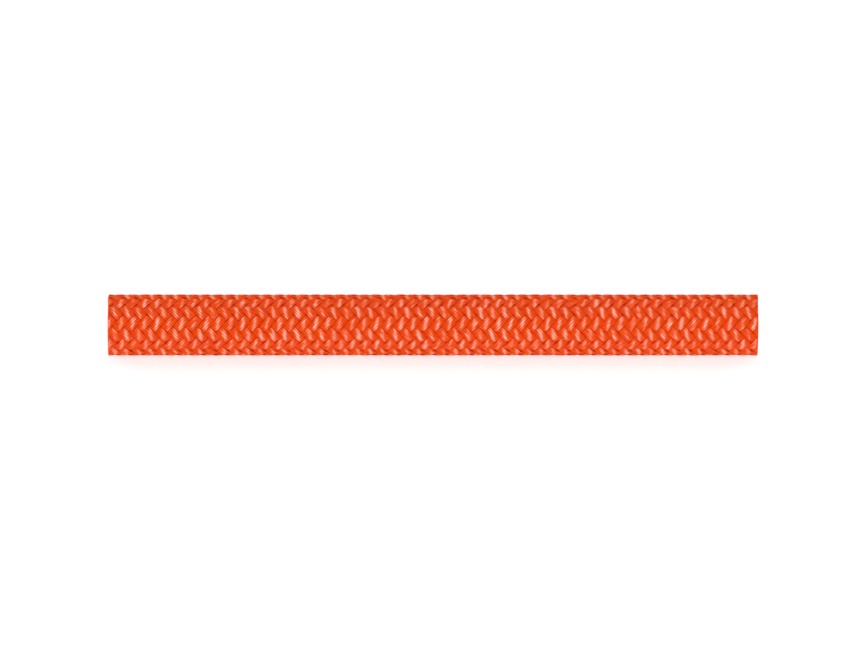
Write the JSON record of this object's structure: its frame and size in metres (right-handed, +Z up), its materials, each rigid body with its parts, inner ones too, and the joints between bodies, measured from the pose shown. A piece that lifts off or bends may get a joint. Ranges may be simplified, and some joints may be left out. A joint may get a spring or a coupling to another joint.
{
  "type": "climbing rope",
  "caption": "Short straight length of dynamic climbing rope with a two-over two-under braided orange sheath round a core of white twisted cords, cut square at both ends.",
  "frame": {"origin": "on the surface that the rope lies on, under the middle of the length and of the width", "axes": "+X along the rope, to the right as seen in the picture; +Z up"},
  "size_m": [0.1058, 0.0098, 0.0098],
  "materials": {
    "sheath": "glossy braided polyamide filament yarn",
    "core": "matt twisted polyamide cord"
  },
  "bodies": {
    "root": {"sheath_strand_s_01": "sheath", "sheath_strand_z_01": "sheath", "sheath_strand_s_02": "sheath", "sheath_strand_z_02": "sheath", "sheath_strand_s_03": "sheath", "sheath_strand_z_03": "sheath", "sheath_strand_s_04": "sheath", "sheath_strand_z_04": "sheath", "sheath_strand_s_05": "sheath", "sheath_strand_z_05": "sheath", "sheath_strand_s_06": "sheath", "sheath_strand_z_06": "sheath", "sheath_strand_s_07": "sheath", "sheath_strand_z_07": "sheath", "sheath_strand_s_08": "sheath", "sheath_strand_z_08": "sheath", "sheath_strand_s_09": "sheath", "sheath_strand_z_09": "sheath", "sheath_strand_s_10": "sheath", "sheath_strand_z_10": "sheath", "sheath_strand_s_11": "sheath", "sheath_strand_z_11": "sheath", "sheath_strand_s_12": "sheath", "sheath_strand_z_12": "sheath", "sheath_strand_s_13": "sheath", "sheath_strand_z_13": "sheath", "sheath_strand_s_14": "sheath", "sheath_strand_z_14": "sheath", "sheath_strand_s_15": "sheath", "sheath_strand_z_15": "sheath", "sheath_strand_s_16": "sheath", "sheath_strand_z_16": "sheath", "core_cord_inner_1": "core", "core_cord_inner_2": "core", "core_cord_inner_3": "core", "core_cord_outer_1": "core", "core_cord_outer_2": "core", "core_cord_outer_3": "core", "core_cord_outer_4": "core", "core_cord_outer_5": "core", "core_cord_outer_6": "core", "core_cord_outer_7": "core", "core_cord_outer_8": "core", "core_cord_outer_9": "core"}
  },
  "joints": []
}
